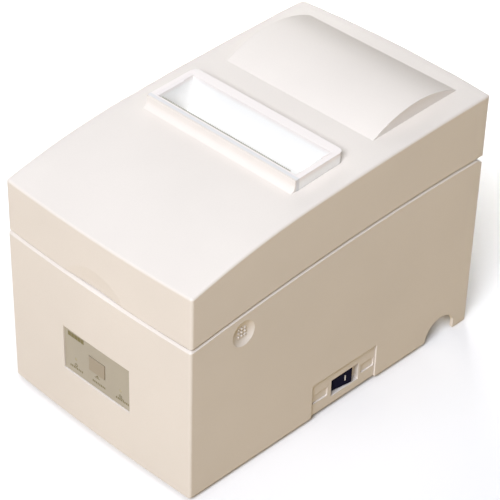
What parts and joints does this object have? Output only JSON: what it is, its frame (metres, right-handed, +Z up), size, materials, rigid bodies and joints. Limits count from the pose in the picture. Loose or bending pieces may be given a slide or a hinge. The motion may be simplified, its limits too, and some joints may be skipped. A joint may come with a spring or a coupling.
{
  "type": "receipt printer",
  "caption": "Desktop impact receipt printer: hinged lid with tear-off window and roll bulge, feed button, side power switch, shuttling print head and drop-in paper bay.",
  "frame": {"origin": "centre of the outline, on the surface the rubber feet stand on", "axes": "+X towards the side with the power switch (the right, seen from the front); +Y from the front panel to the rear; +Z up"},
  "size_m": [0.16, 0.2594, 0.1849],
  "materials": {
    "case_plastic": "fine texture",
    "label": "satin",
    "button_plastic": "satin",
    "lens": "clear, dark when off",
    "rocker_plastic": "semi-gloss",
    "black_plastic": "fine texture",
    "gear_plastic": "satin",
    "knob_plastic": "satin",
    "cassette_plastic": "satin",
    "bay_plastic": "fine texture",
    "steel": "ground",
    "cutter_steel": "satin",
    "plated_steel": "zinc plated",
    "aluminium": "anodised",
    "brass": "satin",
    "rubber": "matt",
    "circuit_board": "solder mask",
    "ribbon": "woven, inked"
  },
  "bodies": {
    "case": {"lower_case": "case_plastic", "hinge_pins": "steel", "floor_plate": "plated_steel", "rubber_feet": "rubber", "case_screws": "steel", "panel_label": "label", "indicator_lenses": "lens", "panel_board": "circuit_board", "switch_plate": "case_plastic", "power_switch_body": "black_plastic", "connector_plate": "plated_steel", "interface_connector": "plated_steel", "power_inlet": "black_plastic", "drawer_jack": "black_plastic", "main_board": "circuit_board", "heat_sink": "aluminium", "board_standoffs": "brass", "m3_screws": "steel", "mech_posts": "plated_steel", "mech_grommets": "rubber", "mechanism_screws": "steel", "mech_base": "plated_steel", "left_side_frame": "plated_steel", "right_side_frame": "plated_steel", "main_guide_shaft": "steel", "front_guide_shaft": "steel", "pressure_pivot_shaft": "steel", "platen_bar": "plated_steel", "feed_bushes": "gear_plastic", "paper_guide": "black_plastic", "carriage_belt": "rubber", "idler_axle": "steel", "carriage_motor": "plated_steel", "ribbon_cassette": "cassette_plastic", "cassette_lid": "cassette_plastic", "ink_ribbon": "ribbon", "reduction_stud": "steel", "feed_motor": "plated_steel", "pressure_springs": "steel", "paper_tub": "bay_plastic", "near_end_bracket": "circuit_board"},
    "lid": {"top_cover": "case_plastic", "window_insert": "case_plastic", "tear_bar": "cutter_steel"},
    "feed_button": {"feed_button": "button_plastic"},
    "power_rocker": {"power_rocker": "rocker_plastic"},
    "paper_feed": {"feed_shaft": "steel", "feed_roller": "rubber", "feed_gear": "gear_plastic"},
    "carriage": {"carriage": "black_plastic", "carriage_bushes": "brass", "print_head": "black_plastic"},
    "drive_pulley": {"drive_pulley": "gear_plastic"},
    "ribbon_drive": {"idler_pulley": "gear_plastic", "ribbon_knob": "knob_plastic"},
    "motor_pinion": {"motor_pinion": "brass"},
    "reduction_gear": {"reduction_gear": "gear_plastic"},
    "pressure_arm": {"pressure_arm": "plated_steel"},
    "pressure_roller": {"pressure_roller": "rubber"},
    "near_end_lever": {"near_end_lever": "black_plastic"}
  },
  "joints": [
    {"name": "lid_hinge", "type": "hinge", "parent": "case", "child": "lid", "pos_m": [0, 0.121, 0.141], "axis": [-1, 0, 0], "range_deg": [0, 85]},
    {"name": "feed_button_press", "type": "slide", "parent": "case", "child": "feed_button", "axis": [0, 1, 0], "range_m": [0, 0.0009], "stiffness_N_per_m": 600, "springref_m": -0.0008},
    {"name": "power_rocker_tilt", "type": "hinge", "parent": "case", "child": "power_rocker", "pos_m": [0.0722, 0.0066, 0.016], "axis": [0, 0, 1], "range_deg": [0, 18]},
    {"name": "carriage_slide", "type": "slide", "parent": "case", "child": "carriage", "axis": [1, 0, 0], "range_m": [0, 0.064]},
    {"name": "drive_pulley_spin", "type": "hinge", "parent": "case", "child": "drive_pulley", "pos_m": [-0.044, -0.08, 0.076], "axis": [0, 0, 1], "continuous": true},
    {"name": "ribbon_drive_spin", "type": "hinge", "parent": "case", "child": "ribbon_drive", "pos_m": [0.044, -0.08, 0.076], "axis": [0, 0, 1], "continuous": true},
    {"name": "paper_feed_spin", "type": "hinge", "parent": "case", "child": "paper_feed", "pos_m": [0, -0.008, 0.088], "axis": [1, 0, 0], "continuous": true},
    {"name": "reduction_gear_spin", "type": "hinge", "parent": "case", "child": "reduction_gear", "pos_m": [-0.066, 0.01041, 0.08126], "axis": [1, 0, 0], "continuous": true},
    {"name": "motor_pinion_spin", "type": "hinge", "parent": "case", "child": "motor_pinion", "pos_m": [-0.064, 0.002, 0.064], "axis": [1, 0, 0], "continuous": true},
    {"name": "pressure_arm_tilt", "type": "hinge", "parent": "case", "child": "pressure_arm", "pos_m": [0, -0.024, 0.068], "axis": [1, 0, 0], "range_deg": [0, 4], "stiffness_Nm_per_rad": 0.6, "springref_deg": -6.88},
    {"name": "pressure_roller_spin", "type": "hinge", "parent": "pressure_arm", "child": "pressure_roller", "pos_m": [0, -0.0198, 0.088], "axis": [1, 0, 0], "continuous": true},
    {"name": "near_end_lever_tilt", "type": "hinge", "parent": "case", "child": "near_end_lever", "pos_m": [-0.0455, 0.0455, 0.102], "axis": [0, 0, 1], "range_deg": [0, 6], "stiffness_Nm_per_rad": 0.02, "springref_deg": -5.73}
  ],
  "couplings": [
    {"joint": "drive_pulley_spin", "follows": "carriage_slide", "rad_per_m": -166.67},
    {"joint": "ribbon_drive_spin", "follows": "carriage_slide", "rad_per_m": -166.67},
    {"joint": "reduction_gear_spin", "follows": "paper_feed_spin", "ratio": -2.5},
    {"joint": "motor_pinion_spin", "follows": "paper_feed_spin", "ratio": 7.5},
    {"joint": "pressure_roller_spin", "follows": "paper_feed_spin", "ratio": -1.5556}
  ]
}
